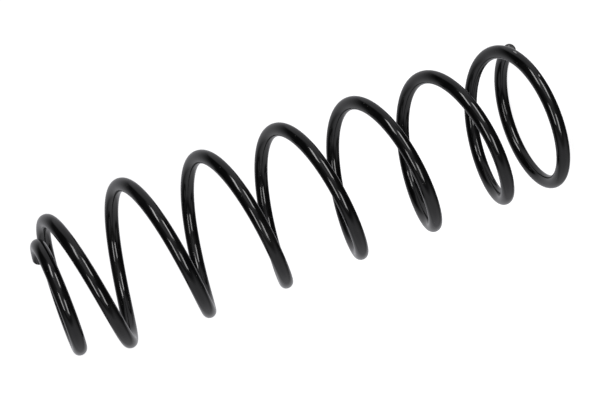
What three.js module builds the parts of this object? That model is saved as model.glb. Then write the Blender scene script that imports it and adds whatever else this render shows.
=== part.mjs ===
// A coil spring for a car's suspension: one length of round spring steel, wound right-handed.
// Its lower end coil is nearly closed and of full diameter, and flattens out at the tip. Its upper end coil
// is closed, narrower, and tucks inwards to its tip. Both ends of the wire are sheared square.
//
// Millimetres, +Z up. The spring's axis is Z. The origin is on the axis, level with the lowest point of the
// wire, and the lower tip points along the tangent at +X.
//
// The wire is divided into stretches: the seated coils at each end, and quarter turns between them. When
// the spring is compressed, each stretch rides down by its own share of the travel. Its neighbours slide
// past its ends, so every division is an upright plane.

import * as THREE from "three";

// Wire
const WIRE_DIAMETER = 11;
const WIRE_SIDES = 16;
const DIVISION_GAP = 0.3;

// Turns, counted upwards from the lower tip
const LOWER_SEATED_TURNS = 0.75;
const ACTIVE_TURNS = 6.5;
const UPPER_SEATED_TURNS = 0.827;
const TOTAL_TURNS = LOWER_SEATED_TURNS + ACTIVE_TURNS + UPPER_SEATED_TURNS;
const STRETCHES_PER_TURN = 4;
const STEPS_PER_TURN = 32;

// Radius of the wire's centreline
const COIL_RADIUS = 58.5;
const LOWER_END_SWELL = 1.5;
const SWELL_TURNS = 1.0; // counted up from the lower tip
const LOWER_TIP_LEAN = 1.8;
const LEAN_TURNS = 0.18; // counted up from the lower tip
const NECK_RADIUS = 51.2;
const NECK_TURNS = { narrowest: 1.2, begins: 1.58 }; // counted down from the upper tip
const UPPER_TIP_RADIUS = 30.4;
const TUCK_TURNS = 0.71; // counted down from the upper tip
const TUCK_POWER = 1.5;

// Rise of the centreline in one turn
const ACTIVE_PITCH = 65.9;
const LOWER_TIP_PITCH = 1.2;
const LOWER_END_PITCH = 18.8;
const UPPER_END_PITCH = 7.4;
const LOWER_OPENING_TURNS = { closed: 0.71, open: 1.1 }; // counted up from the lower tip
const UPPER_OPENING_TURNS = { closed: 0.68, open: 1.45 }; // counted down from the upper tip

const COAT = { color: 0x0b0b0c, roughness: 0.32, metalness: 0.0 };

const { clamp, lerp, smoothstep } = THREE.MathUtils;

// Radius of the centreline after so many turns from the lower tip.
function coilRadius(turns) {
  const left = TOTAL_TURNS - turns;
  const swell = LOWER_END_SWELL * Math.sin(Math.PI * clamp(turns / SWELL_TURNS, 0, 1)) ** 2;
  const lean = LOWER_TIP_LEAN * clamp(1 - turns / LEAN_TURNS, 0, 1) ** 2;
  const opened = smoothstep(left, NECK_TURNS.narrowest, NECK_TURNS.begins);
  const tuck = clamp(1 - left / TUCK_TURNS, 0, 1) ** TUCK_POWER * (NECK_RADIUS - UPPER_TIP_RADIUS);
  return lerp(NECK_RADIUS, COIL_RADIUS, opened) + swell - lean - tuck;
}

// Rise per turn after so many turns from the lower tip.
function pitch(turns) {
  const left = TOTAL_TURNS - turns;
  const { closed, open } = LOWER_OPENING_TURNS;
  const seated = lerp(LOWER_TIP_PITCH, LOWER_END_PITCH, clamp(turns / LEAN_TURNS, 0, 1));
  const rising = lerp(seated, ACTIVE_PITCH, smoothstep(turns, closed, open));
  const opened = smoothstep(left, UPPER_OPENING_TURNS.closed, UPPER_OPENING_TURNS.open);
  return lerp(UPPER_END_PITCH, rising, opened);
}

// Height of the centreline above the lower tip's centre, summed once in small steps of a turn.
const HEIGHT_STEPS = 4000;
const heights = [0];
for (let i = 0; i < HEIGHT_STEPS; i++) {
  const step = TOTAL_TURNS / HEIGHT_STEPS;
  heights.push(heights[i] + pitch((i + 0.5) * step) * step);
}

function height(turns) {
  const at = clamp((turns / TOTAL_TURNS) * HEIGHT_STEPS, 0, HEIGHT_STEPS);
  const below = Math.min(Math.floor(at), HEIGHT_STEPS - 1);
  return lerp(heights[below], heights[below + 1], at - below);
}

// The centreline between two places on the wire, given in turns from the lower tip.
class Centreline extends THREE.Curve {
  constructor(from, to) {
    super();
    this.from = from;
    this.to = to;
  }

  getPoint(t, target = new THREE.Vector3()) {
    const turns = lerp(this.from, this.to, t);
    const angle = turns * 2 * Math.PI;
    const radius = coilRadius(turns);
    return target.set(radius * Math.cos(angle), radius * Math.sin(angle), height(turns));
  }

  // Sections stand on upright planes across the wire. Its slope makes each one taller than it is wide.
  computeFrenetFrames(segments) {
    const frames = { tangents: [], normals: [], binormals: [] };
    for (let i = 0; i <= segments; i++) {
      const tangent = this.getTangentAt(i / segments);
      const level = Math.hypot(tangent.x, tangent.y);
      frames.tangents.push(tangent);
      frames.normals.push(new THREE.Vector3(tangent.y / level, -tangent.x / level, 0));
      frames.binormals.push(new THREE.Vector3(0, 0, -1 / level));
    }
    return frames;
  }
}

// The wire's round section, as wide in area as the true circle.
const faceting = (2 * Math.PI) / WIRE_SIDES;
const sectionRadius = (WIRE_DIAMETER / 2) * Math.sqrt(faceting / Math.sin(faceting));
const section = new THREE.Shape().absarc(0, 0, sectionRadius, 0, 2 * Math.PI);

const spring = new THREE.Group();

// One stretch of wire. Half a gap comes off each end that another stretch meets.
function addStretch(name, from, to) {
  const trim = DIVISION_GAP / 2 / (2 * Math.PI * COIL_RADIUS);
  const start = from > 0 ? from + trim : from;
  const end = to < TOTAL_TURNS ? to - trim : to;
  const geometry = new THREE.ExtrudeGeometry(section, {
    steps: Math.max(2, Math.round((to - from) * STEPS_PER_TURN)),
    curveSegments: WIRE_SIDES / 2,
    bevelEnabled: false,
    extrudePath: new Centreline(start, end),
  });
  const mesh = new THREE.Mesh(geometry, new THREE.MeshStandardMaterial(COAT));
  mesh.name = name;
  mesh.position.z = liftToFloor;
  spring.add(mesh);
}

// Splits a run of wire evenly into the named stretches.
function addRun(names, from, to) {
  const length = (to - from) / names.length;
  names.forEach((name, i) => addStretch(name, from + i * length, from + (i + 1) * length));
}

// The lowest point of the wire is the underside of the lower tip.
const tipSlope = Math.atan2(pitch(0), 2 * Math.PI * coilRadius(0));
const liftToFloor = sectionRadius / Math.cos(tipSlope);

const activeFrom = LOWER_SEATED_TURNS;
const activeTo = LOWER_SEATED_TURNS + ACTIVE_TURNS;
const activeNames = [];
for (let i = 0; i < ACTIVE_TURNS * STRETCHES_PER_TURN; i++) {
  const coil = Math.floor(i / STRETCHES_PER_TURN) + 1;
  const quarter = (i % STRETCHES_PER_TURN) + 1;
  activeNames.push(`coil_${coil}_quarter_${quarter}`);
}

addRun(["lower_end_tip", "lower_end_middle", "lower_end_rise"], 0, activeFrom);
addRun(activeNames, activeFrom, activeTo);
addRun(["upper_end_neck", "upper_end_tuck", "upper_end_tip"], activeTo, TOTAL_TURNS);

export default spring;
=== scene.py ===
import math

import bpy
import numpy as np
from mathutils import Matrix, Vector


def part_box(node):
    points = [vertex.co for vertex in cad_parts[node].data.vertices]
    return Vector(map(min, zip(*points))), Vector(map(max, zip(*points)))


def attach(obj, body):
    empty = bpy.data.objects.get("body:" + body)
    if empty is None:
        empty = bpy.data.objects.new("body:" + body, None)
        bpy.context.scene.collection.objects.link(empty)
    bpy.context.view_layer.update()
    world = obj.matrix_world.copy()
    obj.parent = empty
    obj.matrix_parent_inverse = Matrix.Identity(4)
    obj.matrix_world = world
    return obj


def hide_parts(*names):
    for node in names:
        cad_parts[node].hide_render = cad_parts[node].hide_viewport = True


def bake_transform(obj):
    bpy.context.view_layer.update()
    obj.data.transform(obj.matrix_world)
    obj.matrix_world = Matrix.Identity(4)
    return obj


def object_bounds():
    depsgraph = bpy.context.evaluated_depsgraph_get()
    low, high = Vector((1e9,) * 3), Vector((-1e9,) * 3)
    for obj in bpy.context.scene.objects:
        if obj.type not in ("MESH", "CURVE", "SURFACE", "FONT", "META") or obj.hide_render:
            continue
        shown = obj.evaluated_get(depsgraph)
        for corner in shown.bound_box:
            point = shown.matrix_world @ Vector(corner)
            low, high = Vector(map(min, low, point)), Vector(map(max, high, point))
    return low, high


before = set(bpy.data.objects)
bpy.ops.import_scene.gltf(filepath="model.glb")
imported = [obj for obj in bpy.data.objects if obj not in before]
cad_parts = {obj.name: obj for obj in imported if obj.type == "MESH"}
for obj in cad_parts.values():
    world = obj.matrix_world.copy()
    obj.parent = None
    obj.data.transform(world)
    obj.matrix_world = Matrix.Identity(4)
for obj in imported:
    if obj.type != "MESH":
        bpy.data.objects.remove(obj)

# A coil spring: one length of black-coated round steel, standing on its lower end coil on a pale floor.
# The wire is built again here at full roundness and with finished ends, one piece for each stretch of the
# CAD model. The pieces of the lower and upper end coils go with those coils' bodies.

cad_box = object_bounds()

MM = 0.001

# ------------------------------------------------------------------------------------- shape of the wire
# Millimetres, and turns counted upwards from the lower tip unless said otherwise, as in the CAD model

WIRE_RADIUS = 5.57  # over the coat
LOWER_SEATED_TURNS = 0.75
ACTIVE_TURNS = 6.5
UPPER_SEATED_TURNS = 0.827
ACTIVE_START = LOWER_SEATED_TURNS
ACTIVE_END = LOWER_SEATED_TURNS + ACTIVE_TURNS
TOTAL_TURNS = ACTIVE_END + UPPER_SEATED_TURNS
STRETCHES_PER_TURN = 4
STRETCHES = round(ACTIVE_TURNS * STRETCHES_PER_TURN)

COIL_RADIUS = 58.5
LOWER_END_SWELL = 1.5
SWELL_TURNS = 1.0
LOWER_TIP_LEAN = 1.8
LEAN_TURNS = 0.18
NECK_RADIUS = 51.2
NECK_TURNS = (1.2, 1.58)  # counted down from the upper tip
UPPER_TIP_RADIUS = 30.4
TUCK_TURNS = 0.71  # counted down from the upper tip
TUCK_POWER = 1.5

ACTIVE_PITCH = 65.9
LOWER_TIP_PITCH = 1.2
LOWER_END_PITCH = 18.8
UPPER_END_PITCH = 7.4
LOWER_OPENING_TURNS = (0.71, 1.1)
UPPER_OPENING_TURNS = (0.68, 1.45)  # counted down from the upper tip

SIDES = 48  # of each section of the wire
STEPS_PER_TURN = 144
HEIGHT_STEPS = 8000  # over which the height is summed


def lerp(start, end, share):
    return start + (end - start) * share


def smoothstep(x, start, end):
    s = np.clip((x - start) / (end - start), 0, 1)
    return s * s * (3 - 2 * s)


def coil_radius(turns):
    left = TOTAL_TURNS - turns
    swell = LOWER_END_SWELL * np.sin(np.pi * np.clip(turns / SWELL_TURNS, 0, 1)) ** 2
    lean = LOWER_TIP_LEAN * np.clip(1 - turns / LEAN_TURNS, 0, 1) ** 2
    tuck = (NECK_RADIUS - UPPER_TIP_RADIUS) * np.clip(1 - left / TUCK_TURNS, 0, 1) ** TUCK_POWER
    return lerp(NECK_RADIUS, COIL_RADIUS, smoothstep(left, *NECK_TURNS)) + swell - lean - tuck


def pitch(turns):
    left = TOTAL_TURNS - turns
    seated = lerp(LOWER_TIP_PITCH, LOWER_END_PITCH, np.clip(turns / LEAN_TURNS, 0, 1))
    rising = lerp(seated, ACTIVE_PITCH, smoothstep(turns, *LOWER_OPENING_TURNS))
    return lerp(UPPER_END_PITCH, rising, smoothstep(left, *UPPER_OPENING_TURNS))


# Height of the axis of the wire, summed once in small steps of a turn
height_turns = np.linspace(0, TOTAL_TURNS, HEIGHT_STEPS + 1)
middles = (height_turns[:-1] + height_turns[1:]) / 2
climbs = pitch(middles) * TOTAL_TURNS / HEIGHT_STEPS
heights = np.concatenate([[0], np.cumsum(climbs)]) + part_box("lower_end_tip")[0].z / MM + WIRE_RADIUS


def centre(turns):
    """Points on the axis of the wire."""
    angle = turns * 2 * np.pi
    radius = coil_radius(turns)
    height = np.interp(turns, height_turns, heights)
    return np.stack([radius * np.cos(angle), radius * np.sin(angle), height], -1)


def directions(turns):
    """Unit vectors along the wire, level and outwards across it, and upwards across it."""
    reach = 1e-5  # turns to either side over which the growth of the coil is measured
    angle = turns * 2 * np.pi
    radius = coil_radius(turns)
    growth = (coil_radius(turns + reach) - coil_radius(turns - reach)) / (4 * np.pi * reach)
    along = np.stack([growth * np.cos(angle) - radius * np.sin(angle),
                      growth * np.sin(angle) + radius * np.cos(angle),
                      pitch(turns) / (2 * np.pi)], -1)
    along /= np.linalg.norm(along, axis=-1, keepdims=True)
    out = np.stack([along[..., 1], -along[..., 0], np.zeros_like(angle)], -1)
    out /= np.linalg.norm(out, axis=-1, keepdims=True)
    return along, out, np.cross(out, along)


runs = np.concatenate([[0], np.cumsum(np.linalg.norm(np.diff(centre(height_turns), axis=0), axis=1))])


def run(turns):
    """Length of wire up to there."""
    return np.interp(turns, height_turns, runs)


# ------------------------------------------------------------------------------------ pieces of the wire

AROUND = np.arange(SIDES) * 2 * np.pi / SIDES

# A sheared end: rings of (share of the wire's radius, how far the face stands back from the cut, in mm).
# The coat rounds the rim over, and the face is slightly hollow in the middle.
SHEARED_RINGS = [(1.0, 0.95), (0.992, 0.60), (0.965, 0.30), (0.92, 0.12), (0.86, 0.04), (0.78, 0.0),
                 (0.66, 0.01), (0.52, 0.04), (0.36, 0.07), (0.18, 0.09)]
FACE_EDGE = (0.85, 0.97)  # shares of the radius over which the look of the face passes into the wire's
SHEAR_ROLL = 0.45  # mm by which the side the blade entered is drawn over more
ROLLED_SIDE = (0.2, 1.0)  # cosines of the angle from the blade's side over which that sets in
SHEAR_STEP = 0.10  # mm of depth of the ripples on the half that tore
TORN_SIDE = (-0.1, 0.5)  # radii past the middle, away from the blade's side, over which they set in
LOWER_BLADE = math.radians(200)  # side the blade entered, from outwards towards up
UPPER_BLADE = math.radians(70)

# Waves of the torn half, in radians per radius of the wire: down it from the blade's side, and across it
COARSE_DOWN = 9
COARSE_BEND = 1.7  # radians
BEND_ACROSS = 5
FINE_DOWN = 23
FINE_ACROSS = 6
FINE_SHARE = 0.5  # of the coarse waves' height


def sheared_back(size, stand_back, blade_angle):
    """How far each point of a ring on a sheared end stands back from the cut, in mm."""
    side = np.cos(AROUND - blade_angle)
    roll = SHEAR_ROLL * size**4 * smoothstep(side, *ROLLED_SIDE)
    across = size * np.sin(AROUND - blade_angle)
    down = size * side
    coarse = np.sin(COARSE_DOWN * down + COARSE_BEND * np.sin(BEND_ACROSS * across))
    fine = np.sin(FINE_DOWN * down + FINE_ACROSS * across)
    ripples = SHEAR_STEP * (1 - size**6) * (coarse + FINE_SHARE * fine)
    return stand_back + roll + smoothstep(-down, *TORN_SIDE) * ripples


def ring(turns, size=1.0, back=0.0):
    """Points of one section of the wire, their directions from its axis, and their places on the wire
    pulled straight. size is a share of the wire's radius, and back moves the points along it, in mm."""
    along, out, up = directions(np.array(turns))
    normals = np.cos(AROUND)[:, None] * out + np.sin(AROUND)[:, None] * up
    back = np.broadcast_to(back, AROUND.shape)
    points = centre(np.array(turns)) + WIRE_RADIUS * size * normals + back[:, None] * along
    straight = np.column_stack([WIRE_RADIUS * size * np.cos(AROUND), WIRE_RADIUS * size * np.sin(AROUND),
                                run(turns) + back])
    return points, normals, straight


def sheared_rings(turns, inwards, blade_angle):
    """Rings of a sheared end from its rim to its middle. inwards is 1 at the lower tip and -1 at the
    upper."""
    return [ring(turns, size, inwards * sheared_back(size, stand_back, blade_angle))
            for size, stand_back in SHEARED_RINGS]


def with_middles(arrays):
    """The rows of every ring, and then the middles of the first ring and the last."""
    return np.concatenate(arrays + [[arrays[0].mean(0)], [arrays[-1].mean(0)]])


def tube_faces(ring_count):
    """Faces that join the rings, and then a fan that closes the first ring and one that closes the last."""
    this = np.arange(SIDES)
    after = np.roll(this, -1)
    sides = [np.column_stack([i * SIDES + this, (i + 1) * SIDES + this,
                              (i + 1) * SIDES + after, i * SIDES + after]) for i in range(ring_count - 1)]
    last = (ring_count - 1) * SIDES
    tail_middle, head_middle = last + SIDES, last + SIDES + 1
    faces = np.concatenate(sides).tolist()
    faces += np.column_stack([np.full(SIDES, tail_middle), this, after]).tolist()
    faces += np.column_stack([np.full(SIDES, head_middle), last + after, last + this]).tolist()
    return faces


def set_exact_normals(mesh, faces, rings, tail_rings, head_rings, start, end):
    """Shades the wall as the true round wire, so that no seam shows where two stretches meet. A plain end
    is flat, and a sheared end keeps the mesh's own normals."""
    corners = np.empty(len(mesh.loops), np.int32)
    mesh.loops.foreach_get("vertex_index", corners)
    own = np.empty(len(mesh.vertices) * 3, np.float32)
    mesh.vertices.foreach_get("normal", own)
    normals = own.reshape(-1, 3)[corners]
    face_of = np.repeat(np.arange(len(faces)), [len(face) for face in faces])

    exact = with_middles([normals_there for _, normals_there, _ in rings])
    wall = (face_of >= (tail_rings - 1) * SIDES) & (face_of < (len(rings) - head_rings) * SIDES)
    normals[wall] = exact[corners[wall]]
    tail_fan = (len(rings) - 1) * SIDES
    head_fan = tail_fan + SIDES
    if tail_rings == 1:
        normals[(face_of >= tail_fan) & (face_of < head_fan)] = -directions(np.array(start))[0]
    if head_rings == 1:
        normals[face_of >= head_fan] = directions(np.array(end))[0]
    mesh.normals_split_custom_set(normals.tolist())


def make_stretch(name, start, end, material):
    """One closed piece of wire, with a sheared face where the wire ends, and the turns of each vertex."""
    places = list(np.linspace(start, end, round((end - start) * STEPS_PER_TURN) + 1))
    tail = sheared_rings(start, 1, LOWER_BLADE) if start == 0 else [ring(start)]
    head = sheared_rings(end, -1, UPPER_BLADE) if end == TOTAL_TURNS else [ring(end)]
    rings = tail[::-1] + [ring(u) for u in places[1:-1]] + head
    ring_turns = [start] * len(tail) + places[1:-1] + [end] * len(head)
    vertex_turns = np.concatenate([np.repeat(ring_turns, SIDES), [start, end]])

    points = with_middles([points_there for points_there, _, _ in rings])
    faces = tube_faces(len(rings))
    mesh = bpy.data.meshes.new(name)
    mesh.from_pydata((points * MM).tolist(), [], faces)
    mesh.polygons.foreach_set("use_smooth", np.ones(len(faces), bool))
    mesh.update()
    set_exact_normals(mesh, faces, rings, len(tail), len(head), start, end)

    straight = with_middles([straight_there for _, _, straight_there in rings])
    coordinates = mesh.attributes.new("straight", "FLOAT_VECTOR", "POINT")
    coordinates.data.foreach_set("vector", (straight * MM).astype(np.float32).ravel())
    size = np.hypot(straight[:, 0], straight[:, 1]) / WIRE_RADIUS
    on_end = (vertex_turns == 0) | (vertex_turns == TOTAL_TURNS)
    sheared = on_end * smoothstep(-size, -FACE_EDGE[1], -FACE_EDGE[0])
    face_mask = mesh.attributes.new("sheared", "FLOAT", "POINT")
    face_mask.data.foreach_set("value", sheared.astype(np.float32))

    mesh.materials.append(material)
    piece = bpy.data.objects.new(name, mesh)
    bpy.context.scene.collection.objects.link(piece)
    return piece, vertex_turns


# --------------------------------------------------------------------------------------------- materials


class Nodes:
    """Short names for making and linking shader nodes."""

    MIX_INPUTS = (0, 6, 7)  # share, first and second colour of a mix node that mixes colours
    MIX_OUTPUT = 2

    def __init__(self, owner):
        owner.use_nodes = True
        self.tree = owner.node_tree
        self.tree.nodes.clear()

    def add(self, kind, settings=None, **sockets):
        """A new node. Inputs are given by name, with _ for a space."""
        node = self.tree.nodes.new(kind)
        for key, value in (settings or {}).items():
            setattr(node, key, value)
        for key, value in sockets.items():
            self.put(node, key.replace("_", " "), value)
        return node

    def put(self, node, key, value):
        """Links a socket to an input, or sets the input to a plain value."""
        if isinstance(value, bpy.types.NodeSocket):
            self.tree.links.new(value, node.inputs[key])
        else:
            node.inputs[key].default_value = value

    def math(self, operation, *values):
        node = self.add("ShaderNodeMath", {"operation": operation})
        for i, value in enumerate(values):
            self.put(node, i, value)
        return node.outputs["Value"]

    def vector(self, operation, *values):
        node = self.add("ShaderNodeVectorMath", {"operation": operation})
        for i, value in enumerate(values):
            self.put(node, i, value)
        return node.outputs["Value" if operation in ("DOT_PRODUCT", "LENGTH") else "Vector"]

    def step(self, value, start, end, low=0.0, high=1.0):
        """Passes smoothly from low to high as the value goes from start to end."""
        node = self.add("ShaderNodeMapRange", {"interpolation_type": "SMOOTHSTEP"}, Value=value,
                        From_Min=start, From_Max=end, To_Min=low, To_Max=high)
        return node.outputs["Result"]

    def noise(self, vector, scale, detail=2.0, roughness=0.5):
        return self.add("ShaderNodeTexNoise", Vector=vector, Scale=scale, Detail=detail,
                        Roughness=roughness).outputs["Fac"]

    def mix(self, share, a, b):
        node = self.add("ShaderNodeMix", {"data_type": "RGBA"})
        for i, value in zip(self.MIX_INPUTS, (share, a, b)):
            self.put(node, i, value)
        return node.outputs[self.MIX_OUTPUT]


# Colours of the coat, and of what lies on it
BLACK = (0.0011, 0.0011, 0.0012, 1)
FADED_BLACK = (0.0032, 0.0032, 0.0033, 1)
FILM = (0.0075, 0.0073, 0.0070, 1)
SHEARED = (0.0050, 0.0050, 0.0053, 1)
DUST = (0.050, 0.048, 0.044, 1)
SCUFF = (0.26, 0.26, 0.26, 1)
FILM_COVER = 0.7
RUBBED_COVER = 0.4
COAT_IOR = 1.5

# Roughness of the coat, what is added to it, and what a mark has at least
ROUGHNESS = (0.075, 0.125)
FILM_ROUGHER = 0.04
RUBBED_ROUGHER = 0.07
SHEARED_ROUGHER = 0.17
MARK_ROUGHNESS = 0.5

# Heights of the coat's unevenness, in metres
SAGS = 0.00006
ORANGE_PEEL = 0.0000045
GRAIN = 0.0000012
TORN_FACE = 0.00006
DENTS = 0.00005

# Scales of the patterns, per metre of the wire pulled straight
CLOUDS_SCALE = 70.0
FILM_SCALE = 34.0
STREAKS_SCALE = 420.0
SCRATCHES_SCALE = 1700.0
HANDLED_SCALE = 22.0
SPECKS_SCALE = 420.0
RAGGED_SCALE = 1500.0
TORN_SCALE = 900.0
PEEL_SCALE = 650.0
GRAIN_SCALE = 3200.0

# Streaks and scratches are drawn out along the wire by squeezing its length
STREAKS_SQUEEZE = (1.0, 1.0, 0.12)
SCRATCHES_SQUEEZE = (1.0, 1.0, 0.05)

# Values of the noise over which each pattern sets in
CLOUDS_FADE = (0.35, 0.7)
CLOUDS_GLOSS = (0.3, 0.7)
FILM_EDGE = (0.50, 0.72)
STREAKS_EDGE = (0.54, 0.72)
SCRATCHES_EDGE = (0.64, 0.72)
HANDLED_EDGE = (0.48, 0.60)

SPECK_CHOICE = (0.90, 0.93)  # of the cells' random values, so that about one cell in twelve holds a speck
SPECK_EDGE = (0.16, 0.08)  # distances from the cell's own point, in cells
RAGGED_DEPTH = 1.4  # range over which the noise moves the edge of a scuff, in halves of its size
SCUFF_EDGE = (1.0, 0.6)  # distances from the scuff's middle, in halves of its size

# Small scuffs in the coat: (mm along the wire, degrees round it from outwards towards up, length in mm,
# width in mm)
SCUFFS = [(326.8, 2, 5.0, 1.5), (297.2, 346, 2.6, 1.3), (1236.0, 320, 2.2, 0.6), (1790.0, 95, 1.6, 0.8),
          (2206.0, 250, 2.0, 0.7)]


def scuffs(n, place):
    """How scuffed the coat is there, from 0 to 1."""
    wander = n.math("SUBTRACT", n.noise(place, RAGGED_SCALE, detail=3.0), 0.5)
    ragged = n.math("MULTIPLY", wander, RAGGED_DEPTH)
    scuffed = 0.0
    for length_along, degrees, length, width in SCUFFS:
        angle = math.radians(degrees)
        spot = Vector((WIRE_RADIUS * math.cos(angle), WIRE_RADIUS * math.sin(angle), length_along)) * MM
        offset = n.vector("MULTIPLY", n.vector("SUBTRACT", place, tuple(spot)),
                          (2 / (width * MM), 2 / (width * MM), 2 / (length * MM)))
        near = n.step(n.math("ADD", n.vector("LENGTH", offset), ragged), *SCUFF_EDGE)
        scuffed = n.math("MAXIMUM", scuffed, near)
    return scuffed


def coated_steel():
    """Gloss black powder coat, uneven in thickness and gloss, with an orange peel, a film of dust in
    patches, specks, rubbed places and scuffs, and a duller coat over the torn steel of the sheared ends."""
    material = bpy.data.materials.new("coated_steel")
    n = Nodes(material)
    place = n.add("ShaderNodeAttribute", {"attribute_name": "straight"}).outputs["Vector"]
    sheared = n.add("ShaderNodeAttribute", {"attribute_name": "sheared"}).outputs["Fac"]

    clouds = n.noise(place, CLOUDS_SCALE, detail=5.0, roughness=0.6)
    film = n.step(n.noise(place, FILM_SCALE, detail=5.0, roughness=0.65), *FILM_EDGE)
    streaked = n.vector("MULTIPLY", place, STREAKS_SQUEEZE)
    streaks = n.step(n.noise(streaked, STREAKS_SCALE, detail=3.0, roughness=0.55), *STREAKS_EDGE)
    scratched = n.vector("MULTIPLY", place, SCRATCHES_SQUEEZE)
    scratches = n.step(n.noise(scratched, SCRATCHES_SCALE), *SCRATCHES_EDGE)
    handled = n.step(n.noise(place, HANDLED_SCALE), *HANDLED_EDGE)
    rubbed = n.math("MULTIPLY", n.math("MAXIMUM", streaks, scratches), handled)

    cells = n.add("ShaderNodeTexVoronoi", Vector=place, Scale=SPECKS_SCALE, Randomness=1.0)
    cell_value = n.add("ShaderNodeSeparateColor", Color=cells.outputs["Color"]).outputs["Red"]
    chosen = n.step(cell_value, *SPECK_CHOICE)
    speck = n.math("MULTIPLY", n.step(cells.outputs["Distance"], *SPECK_EDGE), chosen)
    scuffed = scuffs(n, place)
    marks = n.math("MAXIMUM", speck, scuffed)

    colour = n.mix(n.step(clouds, *CLOUDS_FADE), BLACK, FADED_BLACK)
    colour = n.mix(n.math("MULTIPLY", film, FILM_COVER), colour, FILM)
    colour = n.mix(n.math("MULTIPLY", rubbed, RUBBED_COVER), colour, FILM)
    colour = n.mix(sheared, colour, SHEARED)
    colour = n.mix(speck, colour, DUST)
    colour = n.mix(scuffed, colour, SCUFF)

    roughness = n.step(clouds, *CLOUDS_GLOSS, *ROUGHNESS)
    for cover, rougher in ((film, FILM_ROUGHER), (rubbed, RUBBED_ROUGHER), (sheared, SHEARED_ROUGHER)):
        roughness = n.math("ADD", roughness, n.math("MULTIPLY", cover, rougher))
    roughness = n.math("MAXIMUM", roughness, n.math("MULTIPLY", marks, MARK_ROUGHNESS))

    torn = n.math("MULTIPLY", n.noise(place, TORN_SCALE, detail=4.0, roughness=0.65), sheared)
    normal = None
    for height, distance in ((clouds, SAGS), (n.noise(place, PEEL_SCALE), ORANGE_PEEL),
                             (n.noise(place, GRAIN_SCALE), GRAIN), (torn, TORN_FACE), (marks, DENTS)):
        bump = n.add("ShaderNodeBump", Distance=distance, Height=height)
        if normal:
            n.put(bump, "Normal", normal)
        normal = bump.outputs["Normal"]

    shader = n.add("ShaderNodeBsdfPrincipled", Base_Color=colour, Roughness=roughness, IOR=COAT_IOR,
                   Normal=normal)
    n.add("ShaderNodeOutputMaterial", Surface=shader.outputs["BSDF"])
    return material


coat = coated_steel()


def split(names, start, end):
    """Divides a run of wire evenly: (name, start, end) of each stretch."""
    cuts = [float(c) for c in np.linspace(start, end, len(names) + 1)]
    return list(zip(names, cuts[:-1], cuts[1:]))


def add_stretch(node, start, end):
    """Puts a finished stretch of wire in the place of its CAD node."""
    piece, vertex_turns = make_stretch(node + "_wire", start, end, coat)
    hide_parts(node)
    return piece, vertex_turns


lower_nodes = ["lower_end_tip", "lower_end_middle", "lower_end_rise"]
for node, start, end in split(lower_nodes, 0, ACTIVE_START):
    piece, _ = add_stretch(node, start, end)
    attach(piece, "lower_end_coil")

active_nodes = [f"coil_{i // STRETCHES_PER_TURN + 1}_quarter_{i % STRETCHES_PER_TURN + 1}"
                for i in range(STRETCHES)]
for i, (node, start, end) in enumerate(split(active_nodes, ACTIVE_START, ACTIVE_END)):
    piece, vertex_turns = add_stretch(node, start, end)
    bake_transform(piece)

upper_nodes = ["upper_end_neck", "upper_end_tuck", "upper_end_tip"]
for node, start, end in split(upper_nodes, ACTIVE_END, TOTAL_TURNS):
    piece, _ = add_stretch(node, start, end)
    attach(piece, "upper_end_coil")

# ------------------------------------------------------------------------------------------------ camera

# The camera looks across the standing spring and is rolled, so that the spring lies across the picture.
EYE = Vector((-0.13127, -1.1119, 0.49027))
FORWARD = Vector((0.11296, 0.96605, -0.23236)).normalized()
PICTURE_RIGHT = Vector((-0.3687, -0.1764, -0.91266))
LENS_MM = 86.01
SENSOR_MM = 36.0
CLIP_END = 100  # m, past the middles of the floor's edges
BACK = -FORWARD
UP = BACK.cross(PICTURE_RIGHT).normalized()
RIGHT = UP.cross(BACK)

camera_data = bpy.data.cameras.new("camera")
camera_data.lens = LENS_MM
camera_data.sensor_width = SENSOR_MM
camera_data.sensor_fit = "HORIZONTAL"
camera_data.clip_end = CLIP_END
camera = bpy.data.objects.new("camera", camera_data)
camera.matrix_world = Matrix.LocRotScale(EYE, Matrix((RIGHT, UP, BACK)).transposed(), None)
bpy.context.scene.collection.objects.link(camera)
bpy.context.scene.camera = camera

# ------------------------------------------------------------------------------------------------- floor

FLOOR_HALF = 90.0  # m, so far that its edge isn't seen
FLOOR_GREY = (0.85, 0.85, 0.85, 1)
FLOOR_GLOW = 0.86
WHITE = (1, 1, 1, 1)

floor_mesh = bpy.data.meshes.new("floor")
floor_corners = [(x * FLOOR_HALF, y * FLOOR_HALF, 0) for x, y in ((-1, -1), (1, -1), (1, 1), (-1, 1))]
floor_mesh.from_pydata(floor_corners, [], [(0, 1, 2, 3)])
floor = bpy.data.objects.new("floor", floor_mesh)
floor.location.z = cad_box[0].z
floor_material = bpy.data.materials.new("pale_floor")
n = Nodes(floor_material)
paper = n.add("ShaderNodeBsdfDiffuse", Color=FLOOR_GREY)
lit = n.add("ShaderNodeEmission", Color=WHITE, Strength=FLOOR_GLOW)
both = n.add("ShaderNodeAddShader")
n.put(both, 0, paper.outputs["BSDF"])
n.put(both, 1, lit.outputs["Emission"])
n.add("ShaderNodeOutputMaterial", Surface=both.outputs["Shader"])
floor_mesh.materials.append(floor_material)
# Kept out of reflections and shadows, so that the lights below its level reach the spring
floor.visible_glossy = False
floor.visible_diffuse = False
floor.visible_shadow = False
bpy.context.scene.collection.objects.link(floor)

# ------------------------------------------------------------------------------------------------- light

LIT_POINT = EYE + FORWARD * 1.1525  # on the spring's axis, in the middle of the picture
LIGHT_DISTANCE = 1.6

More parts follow.
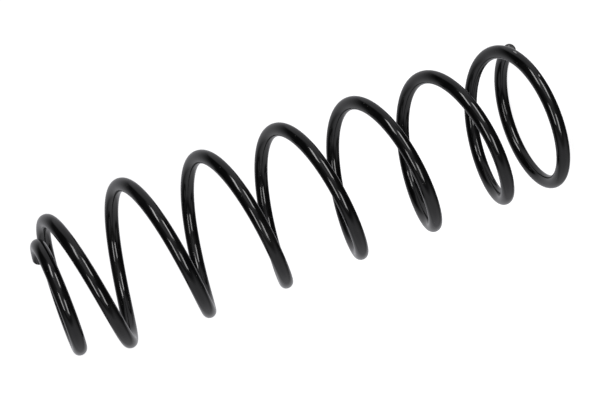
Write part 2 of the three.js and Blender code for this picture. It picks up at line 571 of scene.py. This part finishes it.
# (name, degrees right of and above the line towards the camera, degrees wide and tall, radiance)
SOFTBOXES = [("softbox_upper_left", -24, 38, 11, 29, 9.2),
             ("softbox_upper_right", 24, 37, 12, 29, 9.2),
             ("softbox_lower_left", -24, -23, 11, 27, 7.5),
             ("softbox_lower_right", 22, -20, 13, 28, 7.3)]


def seen_from_spring(right, up):
    """The direction that lies so many degrees right of and above the line towards the camera."""
    angle, turn = math.radians(math.hypot(right, up)), math.atan2(up, right)
    return math.cos(angle) * BACK + math.sin(angle) * (math.cos(turn) * RIGHT + math.sin(turn) * UP)


def softbox(name, right, up, wide, tall, radiance):
    """A soft light of so many degrees across, as the spring sees it."""
    direction = seen_from_spring(right, up)
    light = bpy.data.lights.new(name, "AREA")
    light.shape = "RECTANGLE"
    light.size = 2 * LIGHT_DISTANCE * math.tan(math.radians(wide / 2))
    light.size_y = 2 * LIGHT_DISTANCE * math.tan(math.radians(tall / 2))
    light.energy = radiance * math.pi * light.size * light.size_y
    lamp = bpy.data.objects.new(name, light)
    across = UP.cross(direction).normalized()
    axes = Matrix((across, direction.cross(across), direction)).transposed()
    lamp.matrix_world = Matrix.LocRotScale(LIT_POINT + direction * LIGHT_DISTANCE, axes, None)
    lamp.visible_camera = False
    bpy.context.scene.collection.objects.link(lamp)


for box in SOFTBOXES:
    softbox(*box)

# Round the spring: dark near the camera but for the glow about the softboxes, pale card above and below,
# and a pale tent behind
DARK = 0.03
FAINT_BLUE = (0.96, 0.96, 1, 1)
BACKDROP = 1.1  # what the camera sees past the floor

world = bpy.data.worlds.new("studio")
bpy.context.scene.world = world
n = Nodes(world)
looking = n.add("ShaderNodeTexCoord").outputs["Generated"]


def towards(target, start, end, strength):
    """Light that grows smoothly where the direction leans from start to end towards the target."""
    return n.math("MULTIPLY", n.step(n.vector("DOT_PRODUCT", looking, tuple(target)), start, end), strength)


tent = towards(-BACK - 0.2 * RIGHT, start=0.35, end=0.85, strength=0.50)
card_above = towards(UP - 0.2 * BACK, start=0.72, end=0.92, strength=0.52)
card_below = towards(-UP + 0.25 * RIGHT, start=0.25, end=0.95, strength=0.56)
not_in_front = towards(-BACK, start=-0.64, end=-0.30, strength=1.0)
cards = n.math("MULTIPLY", n.math("MAXIMUM", card_above, card_below), not_in_front)
glow_above = towards(seen_from_spring(0, 34), start=0.72, end=0.93, strength=0.50)
glow_below = towards(seen_from_spring(0, -18), start=0.80, end=0.95, strength=0.32)
glow_round = towards(BACK, start=0.4, end=0.9, strength=0.08)
glow = n.math("MAXIMUM", n.math("MAXIMUM", glow_above, glow_below), glow_round)
radiance = n.math("ADD", n.math("ADD", n.math("MAXIMUM", tent, cards), glow), DARK)
surroundings = n.add("ShaderNodeBackground", Color=FAINT_BLUE, Strength=radiance)
backdrop = n.add("ShaderNodeBackground", Color=WHITE, Strength=BACKDROP)
path = n.add("ShaderNodeLightPath")
choose = n.add("ShaderNodeMixShader", Fac=path.outputs["Is Camera Ray"])
n.put(choose, 1, surroundings.outputs["Background"])
n.put(choose, 2, backdrop.outputs["Background"])
n.add("ShaderNodeOutputWorld", Surface=choose.outputs["Shader"])

bpy.context.scene.view_settings.view_transform = "Standard"
